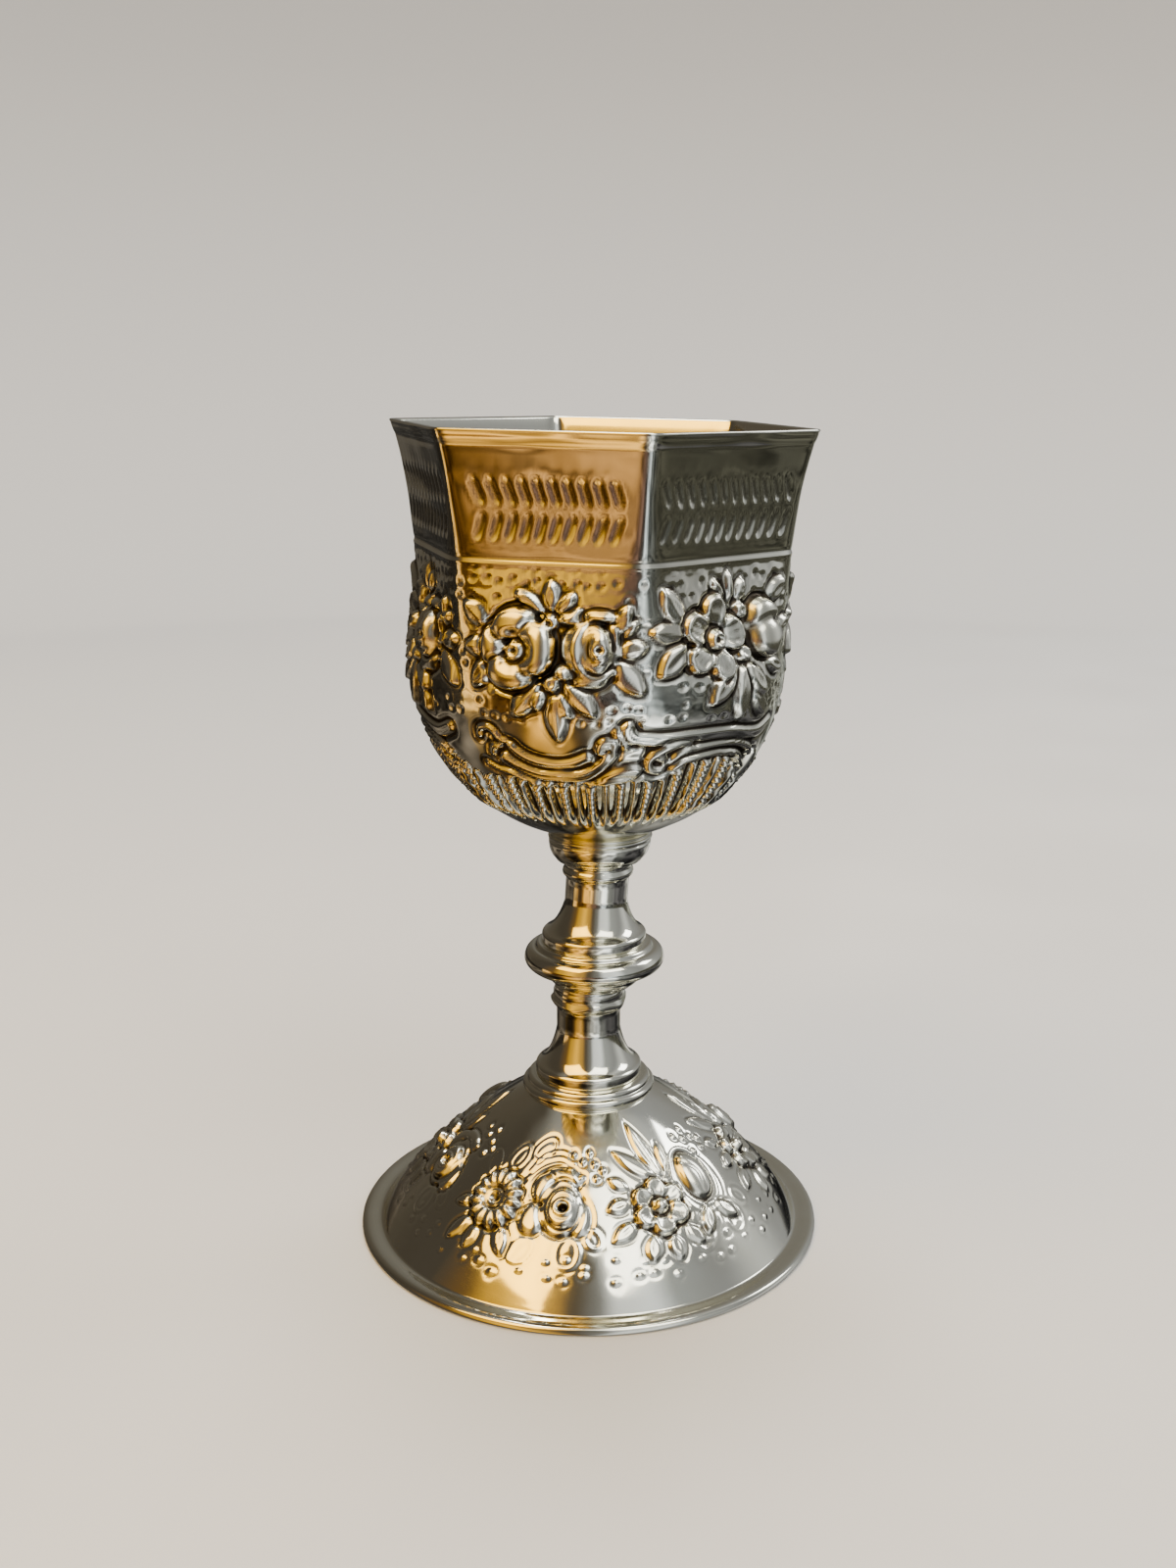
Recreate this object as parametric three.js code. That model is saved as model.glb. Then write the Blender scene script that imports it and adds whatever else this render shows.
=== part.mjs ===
// A stemmed ceremonial wine cup in raised silver: a six-sided bowl with a garland in relief,
// a hollow stem in two tubes with a knop between them, and a chased, domed foot.
// Millimetres, +Z up, origin at the middle of the foot's underside.
import * as THREE from "three";

const { smoothstep, lerp, degToRad } = THREE.MathUtils;

// Driving dimensions.
const CUP_HEIGHT = 120;
const FOOT_RADIUS = 34.9;
const RIM_RADIUS = 30; // centre to a corner of the six-sided rim, on average
const BELLY_RADIUS = 26;
const WALL = 0.8; // thickness of the raised sheet

// Heights above the table.
const FOOT_TOP = 23.8;
const LOWER_STEM_TOP = 38;
const KNOP_TOP = 44.7;
const UPPER_STEM_TOP = 61.8;
const BOWL_BASE = 61.9;
const BELLY_CENTRE = 87.2;
const LIP_LINE = 103.4; // the chased line under the plain lip
const RIM_CREASE = CUP_HEIGHT - 2;

// The cup was soldered up by hand. Above the lower stem each piece stands a little off the foot's axis.
const KNOP_OFFSET = 0.85;
const STEM_BASE_OFFSET = 0.75;
const STEM_TOP_OFFSET = 1.75;
const BOWL_OFFSET = 1.35;
const RIM_TILT = Math.tan(degToRad(0.9)); // the rim runs down to the right

// The rim's three diagonals, each with a corner at both ends. They aren't quite equal.
const RIM_DIAGONALS = [
  { turn: degToRad(45.4), radius: 29.6 },
  { turn: degToRad(102.9), radius: 29.3 },
  { turn: degToRad(165.4), radius: 30.6 },
];
const FACES = 6;
const FACE_STEP = (2 * Math.PI) / FACES;
const BOUQUET_TURN = degToRad(17.5); // the middle of one group of flowers. The others follow a face apart

const FLUTES = 48;
const BOWL_COLUMNS = 2 * FLUTES; // a crest and a hollow for each flute
const FOOT_COLUMNS = 56;
const STEM_COLUMNS = 24;

const silver = new THREE.MeshStandardMaterial({ color: 0xe6e2da, metalness: 1, roughness: 0.18 });
const stemSilver = new THREE.MeshStandardMaterial({ color: 0xeae7e0, metalness: 1, roughness: 0.12 });

const point = (radius, height) => new THREE.Vector2(radius, height);

// A turned piece. The outline runs from the axis round the outside and back to the axis.
// reshape(radius, height, angle, index) gives the point's new radius.
function turned(outline, columns, reshape) {
  const geometry = new THREE.LatheGeometry(outline, columns);
  geometry.rotateX(Math.PI / 2);
  const place = geometry.attributes.position;
  for (let i = 0; reshape && i < place.count; i++) {
    const radius = Math.hypot(place.getX(i), place.getY(i));
    if (radius < 1e-6) continue;
    const angle = Math.atan2(place.getY(i), place.getX(i));
    const grown = reshape(radius, place.getZ(i), angle, i % outline.length) / radius;
    place.setXY(i, place.getX(i) * grown, place.getY(i) * grown);
  }
  return geometry;
}

function outlineOf(draw, divisions) {
  const path = new THREE.Path();
  draw(path);
  return path.getPoints(divisions);
}

// A dome of radius 1 and height 1, with its foot eased into the ground it stands on.
function dome(distance) {
  if (distance >= 1) return 0;
  const side = 1 - distance * distance;
  return Math.sqrt(side) * smoothstep(side, 0, 0.5);
}

// The height of a group of flowers at a place measured from the group's middle, across and up in millimetres.
function flowerHeight(flowers, across, up) {
  let height = 0;
  for (const f of flowers) {
    const distance = Math.hypot((across - f.across) / f.half, (up - f.up) / (f.tall ?? f.half));
    height = Math.max(height, f.height * dome(distance));
  }
  return height;
}

// How far an angle lies past the middle of the nearest group of flowers, and which of the panels that is.
function bouquetAt(angle, panels) {
  const turns = (angle - BOUQUET_TURN) / FACE_STEP;
  const nearest = Math.round(turns);
  return { past: (turns - nearest) * FACE_STEP, flowers: panels[(nearest + FACES) % panels.length] };
}

// ---- Bowl ----

const GREENERY = [
  { across: 0, up: 91.8, half: 12.4, tall: 6, height: 0.5 },
  { across: -0.5, up: 85, half: 3.6, tall: 4.4, height: 0.6 },
  { across: -0.6, up: 98.2, half: 3.8, tall: 2.8, height: 0.5 },
];
const POPPY = { across: -5.1, up: 92.2, half: 4.6, tall: 5, height: 1.5 };
const ROSE = { across: 4, up: 92.6, half: 3.7, tall: 4.3, height: 2.1 };
const DAISY = { across: -4.4, up: 93.2, half: 5, tall: 5.2, height: 1.3 };
const BUD = { across: 5.4, up: 94, half: 3, tall: 4.2, height: 2.1 };
const BOWL_PANELS = [
  [...GREENERY, DAISY, ROSE],
  [...GREENERY, POPPY, ROSE],
  [...GREENERY, DAISY, BUD],
];
const FLUTE_DEPTH = 0.5;
const FLUTE_FOOT = 62.8;
const FLUTE_HEAD = 74;

// The rim's six sides as straight lines: the way each faces, and how far it is from the axis.
const SIDES = [...Array(FACES).keys()].map((k) => {
  const [start, end] = [k, k + 1].map((corner) => {
    const { turn, radius } = RIM_DIAGONALS[corner % 3];
    const whole = turn + Math.floor(corner / 3) * Math.PI;
    return point(radius * Math.cos(whole), radius * Math.sin(whole));
  });
  const along = end.clone().sub(start).normalize();
  const facing = Math.atan2(-along.x, along.y);
  return { facing, distance: (start.x * along.y - start.y * along.x) / RIM_RADIUS };
});

// How six-sided the bowl is at a height: 2 is round, and a large number a hexagon with sharp corners.
const sidedness = (z) => 2 * 30 ** smoothstep(z, 78, 116);

// The section's radius at an angle, as a share of the radius at its corners.
function sectionShare(angle, power) {
  let sum = 0;
  for (const { facing, distance } of SIDES) {
    sum += (Math.max(0, Math.cos(angle - facing)) / distance) ** power;
  }
  return (2 / sum) ** (1 / power);
}

// Distance from the axis to a corner of the bowl's outside, at a height.
function bowlCornerRadius(z) {
  const lip = BELLY_RADIUS + 0.7;
  if (z <= LIP_LINE) return lerp(BELLY_RADIUS, lip, ((z - BELLY_CENTRE) / (LIP_LINE - BELLY_CENTRE)) ** 1.5);
  const flare = (z - LIP_LINE) / (CUP_HEIGHT - LIP_LINE);
  return lerp(lip, RIM_RADIUS, 0.6 * flare + 0.4 * flare ** 3);
}

function bowl() {
  const seat = 7.2; // the flat underside that the stem carries
  const seatAngle = Math.asin(seat / BELLY_RADIUS);
  const outside = [point(0, BOWL_BASE)];
  const arcSteps = 11;
  for (let i = 0; i <= arcSteps; i++) {
    const angle = lerp(seatAngle, Math.PI / 2, i / arcSteps);
    outside.push(point(BELLY_RADIUS * Math.sin(angle), BELLY_CENTRE - BELLY_RADIUS * Math.cos(angle)));
  }
  outside[1].y = BOWL_BASE;
  const sideSteps = 7;
  for (let i = 1; i <= sideSteps; i++) {
    const z = lerp(BELLY_CENTRE, LIP_LINE, i / sideSteps);
    outside.push(point(bowlCornerRadius(z), z));
  }
  for (const z of [lerp(LIP_LINE, RIM_CREASE, 0.5), RIM_CREASE, CUP_HEIGHT]) outside.push(point(bowlCornerRadius(z), z));
  const lastOutside = outside.length - 1;

  const inside = [CUP_HEIGHT, RIM_CREASE, LIP_LINE].map((z) => point(bowlCornerRadius(z) - WALL, z));
  const innerSteps = 6;
  for (let i = 0; i <= innerSteps; i++) {
    const angle = lerp(Math.PI / 2, 0, i / innerSteps);
    const radius = BELLY_RADIUS - WALL;
    inside.push(point(radius * Math.sin(angle), BELLY_CENTRE - radius * Math.cos(angle)));
  }
  inside.at(-1).x = 0;

  const geometry = turned([...outside, ...inside], BOWL_COLUMNS, (radius, z, angle, index) => {
    const section = radius * sectionShare(angle, sidedness(z));
    if (index > lastOutside) return section;
    const { past, flowers } = bouquetAt(angle, BOWL_PANELS);
    const zone = smoothstep(z, FLUTE_FOOT, FLUTE_FOOT + 3) * (1 - smoothstep(z, FLUTE_HEAD - 3, FLUTE_HEAD));
    const flute = FLUTE_DEPTH * zone * (Math.cos(angle * FLUTES) - 0.5);
    return section + flute + flowerHeight(flowers, past * BELLY_RADIUS, z);
  });
  const place = geometry.attributes.position;
  for (let i = 0; i < place.count; i++) {
    const z = place.getZ(i);
    place.setZ(i, z - place.getX(i) * RIM_TILT * smoothstep(z, 85, CUP_HEIGHT));
  }
  return geometry;
}

// ---- Stem ----

// The collar under the bowl and the cup under the knop are the same pressing: an edge at the bottom,
// and a swelling side up to the piece it carries.
function collar(p, z, height, mouth, throat) {
  p.lineTo(throat, z);
  p.quadraticCurveTo(lerp(throat, mouth, 0.8), z + 0.3 * height, mouth, z + height);
}

function upperStem() {
  const base = KNOP_TOP + 0.02;
  const neck = 4.65;
  const edge = 57.6;
  const geometry = turned(
    outlineOf((p) => {
      p.moveTo(0, base);
      p.lineTo(7.75, base);
      p.lineTo(7.75, base + 0.9);
      p.quadraticCurveTo(5.4, base + 2.6, neck, base + 6.6);
      p.lineTo(neck, edge - 3);
      p.lineTo(5.2, edge - 2);
      p.lineTo(5.1, edge - 1);
      collar(p, edge, 3, 7.5, 6.35);
      p.lineTo(7.2, UPPER_STEM_TOP - 0.6);
      p.lineTo(7.4, UPPER_STEM_TOP);
      p.lineTo(0, UPPER_STEM_TOP);
    }, 3),
    STEM_COLUMNS,
  );
  // The tube stands askew between the knop and the bowl.
  const place = geometry.attributes.position;
  for (let i = 0; i < place.count; i++) {
    const share = (place.getZ(i) - KNOP_TOP) / (UPPER_STEM_TOP - KNOP_TOP);
    place.setX(i, place.getX(i) + lerp(STEM_BASE_OFFSET, STEM_TOP_OFFSET, share));
  }
  return geometry;
}

function knop() {
  const equator = 42.1;
  return turned(
    outlineOf((p) => {
      p.moveTo(0, LOWER_STEM_TOP);
      collar(p, LOWER_STEM_TOP, 1.8, 7.1, 5.7);
      p.quadraticCurveTo(10.3, 40.6, 10.4, equator);
      p.quadraticCurveTo(10.4, equator + 1.7, 9, 44.1);
      p.lineTo(8.6, KNOP_TOP + 0.1);
      p.lineTo(8.2, KNOP_TOP);
      p.lineTo(0, KNOP_TOP);
    }, 4),
    STEM_COLUMNS,
  );
}

function lowerStem() {
  const base = FOOT_TOP;
  const top = LOWER_STEM_TOP - 0.02;
  const neck = 4.8;
  return turned(
    outlineOf((p) => {
      p.moveTo(0, base);
      p.lineTo(8, base);
      p.lineTo(8, base + 1.6);
      p.quadraticCurveTo(5.5, base + 3.6, neck, base + 7.2);
      p.lineTo(neck, top - 3.5);
      p.lineTo(5.3, top - 3);
      p.lineTo(5.3, top - 1.8);
      p.lineTo(5, top - 1.4);
      p.lineTo(5, top);
      p.lineTo(0, top);
    }, 3),
    STEM_COLUMNS,
  );
}

// ---- Foot ----

const DOME_FOOT = point(31.6, 1.4); // where the dome meets the flange
const DOME_HEAD = point(9.7, 21.2); // where the dome meets the rings under the stem
const DOME_BULGE = 1.6; // how far the dome swells past a straight cone
const FLANGE = 1.3; // thickness of the turned edge that the cup stands on
const FLANGE_INSIDE = 30.6;

const FLOWER_RADIUS = 22; // the middle of the flowers' ring
const FOOT_ROSE = { across: 1.6, up: 11.2, half: 3.9, tall: 3.4, height: 1.1 };
const FOOT_DAISY = { across: -7.6, up: 11, half: 4.2, tall: 3.2, height: 0.8 };
const FOOT_PANELS = [
  [FOOT_DAISY, FOOT_ROSE],
  [{ across: -8.6, up: 11, half: 3.8, tall: 3, height: 0.9 }, FOOT_ROSE],
  [FOOT_DAISY, { across: 0.2, up: 12, half: 3, tall: 3, height: 1.1 }],
];

// A point of the dome's outside, from 0 at the flange to 1 at the head.
function domePoint(share) {
  const along = DOME_HEAD.clone().sub(DOME_FOOT);
  const outward = point(along.y, -along.x).normalize();
  return DOME_FOOT.clone()
    .addScaledVector(along, share)
    .addScaledVector(outward, 4 * share * (1 - share) * DOME_BULGE);
}

function foot() {
  const ceiling = FOOT_TOP - 2;
  const inside = [point(0, ceiling), point(7.4, ceiling)];
  const innerSteps = 4;
  for (let i = innerSteps; i >= 1; i--) inside.push(domePoint(i / innerSteps).subScalar(WALL));
  inside.push(point(FLANGE_INSIDE, 0));
  const edge = [
    point(FOOT_RADIUS - 0.3, 0),
    point(FOOT_RADIUS, 0.4),
    point(FOOT_RADIUS, FLANGE - 0.4),
    point(FOOT_RADIUS - 0.4, FLANGE),
  ];
  const steps = 10;
  const side = [...Array(steps + 1).keys()].map((i) => domePoint(i / steps));
  const rings = [point(9.8, 22.1), point(9.1, 22.9), point(8.9, FOOT_TOP - 0.3)];
  const head = [point(8.1, FOOT_TOP - 0.02), point(0, FOOT_TOP - 0.02)];
  const sideFrom = inside.length + edge.length;
  const sideTo = sideFrom + side.length;
  return turned([...inside, ...edge, ...side, ...rings, ...head], FOOT_COLUMNS, (radius, z, angle, index) => {
    if (index < sideFrom || index >= sideTo) return radius;
    const { past, flowers } = bouquetAt(angle, FOOT_PANELS);
    return radius + flowerHeight(flowers, past * FLOWER_RADIUS, z);
  });
}

// ---- The cup ----

const cup = new THREE.Group();

function add(name, geometry, material) {
  geometry.deleteAttribute("uv");
  geometry.computeVertexNormals();
  const mesh = new THREE.Mesh(geometry, material);
  mesh.name = name;
  cup.add(mesh);
  return mesh;
}

add("foot", foot(), silver);
add("lower_stem", lowerStem(), stemSilver);
add("knop", knop(), stemSilver).position.x = KNOP_OFFSET;
add("upper_stem", upperStem(), stemSilver);
add("bowl", bowl(), silver).position.x = BOWL_OFFSET;

export default cup;
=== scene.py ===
import math

import bmesh
import bpy
import numpy as np
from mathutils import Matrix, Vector


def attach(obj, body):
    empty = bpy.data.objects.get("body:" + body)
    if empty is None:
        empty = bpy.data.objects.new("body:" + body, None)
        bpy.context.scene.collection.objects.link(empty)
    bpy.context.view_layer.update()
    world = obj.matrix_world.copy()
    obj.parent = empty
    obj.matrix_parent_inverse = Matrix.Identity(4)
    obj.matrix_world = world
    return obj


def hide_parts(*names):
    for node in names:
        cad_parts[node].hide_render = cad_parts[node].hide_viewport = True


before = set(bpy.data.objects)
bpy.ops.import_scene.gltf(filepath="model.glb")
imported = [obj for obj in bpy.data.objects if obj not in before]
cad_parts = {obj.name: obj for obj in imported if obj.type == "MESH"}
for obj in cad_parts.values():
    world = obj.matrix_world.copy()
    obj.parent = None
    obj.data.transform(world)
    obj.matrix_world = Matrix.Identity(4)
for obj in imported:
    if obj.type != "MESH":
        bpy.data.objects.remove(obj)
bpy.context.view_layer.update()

MM = 0.001

# ---- The cup's sizes, in millimetres ----

CUP_HEIGHT = 120.0
FOOT_RADIUS = 34.9
RIM_RADIUS = 30.0
BELLY_RADIUS = 26.0
WALL = 0.8

FOOT_TOP = 23.8
LOWER_STEM_TOP = 38.0
KNOP_TOP = 44.7
UPPER_STEM_TOP = 61.8
BOWL_BASE = 61.9
BELLY_CENTRE = 87.2
LIP_LINE = 103.4
RIM_CREASE = 118.0

# Above the lower stem each piece stands a little off the foot's axis.
KNOP_OFFSET = 0.85
STEM_BASE_OFFSET = 0.75
STEM_TOP_OFFSET = 1.75
BOWL_OFFSET = 1.35
RIM_TILT = math.tan(math.radians(0.9))

# Each diagonal of the six-sided rim: the turn of one of its corners, and the distance to it.
RIM_DIAGONALS = [(45.4, 29.6), (102.9, 29.3), (165.4, 30.6)]
FACE_DEG = 60.0
BOUQUET_DEG = 17.5

BACK_DEG = 90.0  # where the wrapped surfaces meet themselves

# The bowl is round up to the first height and fully six-sided from the second.
ROUND_TO, SIX_SIDED_FROM = 78, 116


# ---- Shared maths ----

def smoothstep(value, low, high):
    share = np.clip((value - low) / (high - low), 0.0, 1.0)
    return share * share * (3.0 - 2.0 * share)


def hump(distance, width):
    return np.exp(-((distance / width) ** 2))


def between(value, start, full, fade, end):
    """1 from full to fade, easing away to 0 at start and end."""
    return smoothstep(value, start, full) * (1 - smoothstep(value, fade, end))


def flowing(points):
    """A flowing line through the points, as an array."""
    per_span = 6
    p = np.asarray(points, float)
    p = np.vstack([2 * p[0] - p[1], p, 2 * p[-1] - p[-2]])
    out = []
    for a, b, c, d in zip(p, p[1:], p[2:], p[3:]):
        for t in np.arange(per_span) / per_span:
            out.append(0.5 * (2 * b + (c - a) * t + (2 * a - 5 * b + 4 * c - d) * t**2
                              + (3 * b - a - 3 * c + d) * t**3))
    out.append(p[-2])
    return np.array(out)


def hand_waves(angle, height, amount):
    """The slight waviness of sheet that was raised by hand, in millimetres."""
    turn = np.radians(angle)
    waves = [(3, 0.21, 0.4), (5, 0.33, 1.9), (8, 0.18, 4.2), (11, 0.52, 2.6), (17, 0.41, 0.9), (7, 0.74, 5.1)]
    return amount * sum(np.sin(n * turn + k * height + start) for n, k, start in waves) / len(waves)


# ---- Chasing ----

class Sheet:
    """Sheet metal being chased: places on it in millimetres, and the height raised there."""

    def __init__(self, across, up):
        self.across, self.up = across, up
        self.height = np.zeros_like(across)

    def near(self, x, y, reach):
        return np.flatnonzero((abs(self.across - x) < reach) & (abs(self.up - y) < reach))

    def lay(self, at, inside, top, outline=0.2):
        """Puts a form over what is there. inside is the distance in from its edge."""
        edge = smoothstep(inside, -0.2, 0.4)
        under = self.height[at] - outline * hump(inside + 0.3, 0.24)
        self.height[at] = under * (1 - edge) + top * edge

    def leaf(self, base, tip, width, height=0.8, veins=1, widest=1.0, blunt=0.75, outline=0.17):
        """widest over 1 moves the widest part towards the tip. A low blunt rounds the ends."""
        run, rise = tip[0] - base[0], tip[1] - base[1]
        length = math.hypot(run, rise)
        run, rise = run / length, rise / length
        at = self.near((base[0] + tip[0]) / 2, (base[1] + tip[1]) / 2, length / 2 + width + 0.6)
        x, y = self.across[at] - base[0], self.up[at] - base[1]
        along, aside = (x * run + y * rise) / length, y * run - x * rise
        held = np.clip(along, 0.001, 0.999)
        half = width / 2 * np.sin(np.pi * held**widest) ** blunt
        past = np.maximum(0, np.abs(along - 0.5) - 0.5) * length
        inside = np.where(past > 0, -np.hypot(past, aside), half - np.abs(aside))
        q = np.clip(aside / np.maximum(half, 0.05), -1, 1)
        top = height * (0.3 + 0.7 * np.sqrt(1 - q * q)) * (0.75 + 0.35 * held)
        for vein in {1: [0], 2: [-0.36, 0.36], 3: [-0.5, 0, 0.5]}.get(veins, []):
            top = top - 0.5 * height * hump(q - vein, 0.2) * (1 - 0.9 * smoothstep(held, 0.55, 0.95))
        self.lay(at, inside, top, outline)

    def petal(self, x, y, turn, near, far, width, height, outline=0.4, shoulder=0.6):
        """A blunt petal from near to far out of the middle x, y, with a rolled edge and a shallow hollow."""
        run, rise = math.cos(math.radians(turn)), math.sin(math.radians(turn))
        at = self.near(x + run * (near + far) / 2, y + rise * (near + far) / 2, (far - near) / 2 + width / 2 + 0.6)
        dx, dy = self.across[at] - x, self.up[at] - y
        along, aside = (dx * run + dy * rise - near) / (far - near), dy * run - dx * rise
        half = width / 2 * np.sin(np.pi * np.clip(along, 0.001, 0.999) ** 1.3) ** 0.5
        ends = np.minimum(along, 1 - along) * (far - near)
        inside = np.minimum(half - np.abs(aside), ends)
        rolled = np.sqrt(1 - (1 - np.clip(inside / shoulder, 0, 1)) ** 2)
        hollow = 0.22 * smoothstep(inside, 0.8 * shoulder, 2.6 * shoulder)
        spread, fading = 0.4 + 0.6 * along, 1 - smoothstep(along, 0.6, 0.95)
        for groove in (-0.25, 0.0, 0.25):
            hollow += 0.3 * hump(aside - groove * width * spread, 0.24) * fading
        self.lay(at, inside, height * (0.3 + 0.7 * rolled - hollow) * (0.7 + 0.3 * np.clip(along, 0, 1)), outline)

    def dome(self, x, y, half, tall, height, outline=0.25, steep=0.5, base=0.0):
        at = self.near(x, y, max(half, tall) + 0.9)
        away = np.hypot(self.across[at] - x, self.up[at] - y)
        q = np.hypot((self.across[at] - x) / half, (self.up[at] - y) / tall) + 1e-6
        self.lay(at, away * (1 / q - 1), base + height * np.clip(1 - q * q, 0, 1) ** steep, outline)

    def eye(self, x, y, radius, thick, height, hole):
        """A raised ring round a pit, on top of what is there."""
        at = self.near(x, y, radius + 3 * thick)
        r = np.hypot(self.across[at] - x, self.up[at] - y)
        self.height[at] += height * hump(r - radius, thick) - hole * hump(r, radius * 0.6)
        self.height[at] -= 0.2 * hump(r - radius - 1.7 * thick, 0.22)

    def distance(self, points, reach):
        """Distance to a flowing line, with the places near it and how far along it they are."""
        path = flowing(points)
        low, high = path.min(0) - reach, path.max(0) + reach
        at = np.flatnonzero((self.across > low[0]) & (self.across < high[0]) & (self.up > low[1]) & (self.up < high[1]))
        x, y = self.across[at], self.up[at]
        best, along = np.full(len(at), 1e9), np.zeros(len(at))
        for k, (a, b) in enumerate(zip(path, path[1:])):
            run, rise = b - a
            t = np.clip(((x - a[0]) * run + (y - a[1]) * rise) / (run * run + rise * rise + 1e-9), 0, 1)
            d = np.hypot(x - a[0] - t * run, y - a[1] - t * rise)
            closer = d < best
            best[closer] = d[closer]
            along[closer] = (k + t[closer]) / (len(path) - 1)
        return at, best, along

    def band(self, points, width, height=0.5, hollow=0.16, taper=0.0, outline=0.48):
        """A band along a flowing line, with raised edges and a hollow middle."""
        at, away, along = self.distance(points, width + 0.7)
        half = width / 2 * (1 - taper * np.abs(2 * along - 1) ** 2)
        q = np.clip(away / half, 0, 1)
        top = 1.3 * height * np.sqrt(1 - 0.8 * q**4) - 1.5 * hollow * (1 - smoothstep(q, 0.2, 0.75))
        self.lay(at, half - away, top, outline)

    def line(self, points, width, height):
        """A ridge along a flowing line, or a groove where height is below 0."""
        at, away, _ = self.distance(points, width * 3)
        self.height[at] += height * hump(away, width)

    def punch_marks(self, zone, pitch, radius, depth, seed=0.0):
        """Small round punch marks with a raised lip, in a loose pattern, where zone is 1."""
        column, row = np.floor(self.across / pitch), np.floor(self.up / pitch)
        near = np.full_like(self.across, 9.0)
        for dx in (-1, 0, 1):
            for dy in (-1, 0, 1):
                i, j = column + dx, row + dy
                shift = np.modf(np.abs(np.sin(i * 12.99 + j * 78.23 + seed) * 43758.5))[0]
                lift = np.modf(np.abs(np.sin(i * 39.35 + j * 11.14 + seed) * 24634.6))[0]
                x, y = (i + 0.3 + 0.4 * shift) * pitch, (j + 0.3 + 0.4 * lift) * pitch
                d = np.hypot(self.across - x, self.up - y) + 9 * (np.modf(shift * 7.3)[0] < 0.3)
                near = np.minimum(near, d)
        free = zone * np.exp(-np.abs(self.height) / 0.06)
        self.height += free * depth * (0.45 * hump(near - 2 * radius, 0.6 * radius) - hump(near, radius))


# ---- Flowers on the bowl ----

# The poppy's petals from the undermost: place, half width and height, and how far each stands up.
POPPY_PETALS = [
    (-3.1, 0.4, 1.9, 3.1, 1.5), (-0.1, 3.3, 3.2, 2.2, 1.8),
    (-0.5, -3.0, 3.4, 2.3, 1.8), (3.1, 0.3, 2.5, 3.5, 2.1),
]


def poppy(sheet, x, y):
    for dx, dy, half, tall, height in POPPY_PETALS:
        sheet.dome(x + dx, y + dy, half, tall, height - 0.5, 0.75, 0.42, 0.5)
    at = sheet.near(x, y, 3.4)
    dx, dy = sheet.across[at] - x, sheet.up[at] - y
    turn, r = np.arctan2(dy, dx), np.hypot(dx, dy)
    flutes = 0.1 * np.cos(13 * turn) * hump(r - 2.2, 0.6)
    cup = 0.75 + 0.1 * r**2 + flutes - 0.6 * hump(dx + 0.1, 0.9) * hump(dy - 2.5, 0.45)
    deep = 1 - smoothstep(r, 2.3, 3.4)
    sheet.height[at] = sheet.height[at] * (1 - deep) + np.minimum(cup, sheet.height[at]) * deep
    sheet.dome(x, y, 1.3, 1.3, 0.85, 0.35, 0.35, 0.7)
    sheet.eye(x, y, 0.9, 0.3, 0.25, 1.2)


# The rose's petals from the undermost: place, half width and height, and share of the rose's height.
ROSE_HEIGHT = 2.3
ROSE_PETALS = [
    (0.4, -4.0, 2.5, 1.25, 0.5), (-3.1, -3.2, 1.5, 1.15, 0.55), (0.9, -3.0, 2.7, 1.4, 0.66),
    (-2.4, 3.5, 1.7, 0.9, 0.45), (1.6, 3.8, 2.3, 0.9, 0.45), (3.0, 0.3, 1.3, 2.9, 0.7), (0.0, 0.0, 3.65, 3.45, 0.95),
]
ROSE_HEART = [(1.35, 0.0, 2.0, 3.05, 1.02), (1.6, 0.1, 1.3, 2.05, 1.12)]


def rose(sheet, x, y):
    """Petals stacked towards a tight middle that sits off centre."""
    for dx, dy, half, tall, share in ROSE_PETALS:
        sheet.dome(x + dx, y + dy, half, tall, ROSE_HEIGHT * share, 0.3)
    for dx, dy, half, tall, share in ROSE_HEART:
        height = ROSE_HEIGHT * share
        sheet.dome(x + dx, y + dy, half, tall, height * 0.3, 0.65, 0.5, height * 0.78)
    # A spiral groove winds in to the hole at the middle.
    turns = np.linspace(0.0, 4.6 * math.pi, 30)
    reach = np.linspace(1.0, 0.27, 30)
    coil = [(x + (1.35 + 2.05 * k * math.cos(t)), y + 3.1 * k * math.sin(t)) for t, k in zip(turns, reach)]
    sheet.line(coil, 0.3, -0.6)
    sheet.line([(x - 2.2, y - 2.2), (x - 2.7, y + 0.4), (x - 1.7, y + 2.6)], 0.28, -0.35)
    sheet.eye(x + 1.45, y, 0.75, 0.28, 0.2, 1.5)


# Each petal of the daisy from the undermost, as its direction in degrees, its length and its width.
DAISY_PETALS = [(-76, 5.5, 4.0), (218, 5.8, 4.2), (10, 5.6, 4.8), (84, 5.9, 4.2), (152, 5.8, 4.3)]


def daisy(sheet, x, y):
    for turn, length, width in DAISY_PETALS:
        sheet.petal(x, y, turn, 0.4, length, width, 1.15, 0.7, 0.5)
    at = sheet.near(x, y, 3.8)
    dx, dy = sheet.across[at] - x, sheet.up[at] - y
    r, turn = np.hypot(dx, dy), np.arctan2(dy, dx)
    inner = 1 - smoothstep(r, 2.2, 3.4)
    sheet.height[at] -= inner * (0.35 + 0.12 * np.cos(15 * turn)) * smoothstep(sheet.height[at], 0.2, 0.8)
    sheet.dome(x, y, 1.4, 1.4, 0.6, 0.5, 0.3, 0.85)
    sheet.eye(x, y, 0.9, 0.3, 0.3, 1.4)


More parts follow.
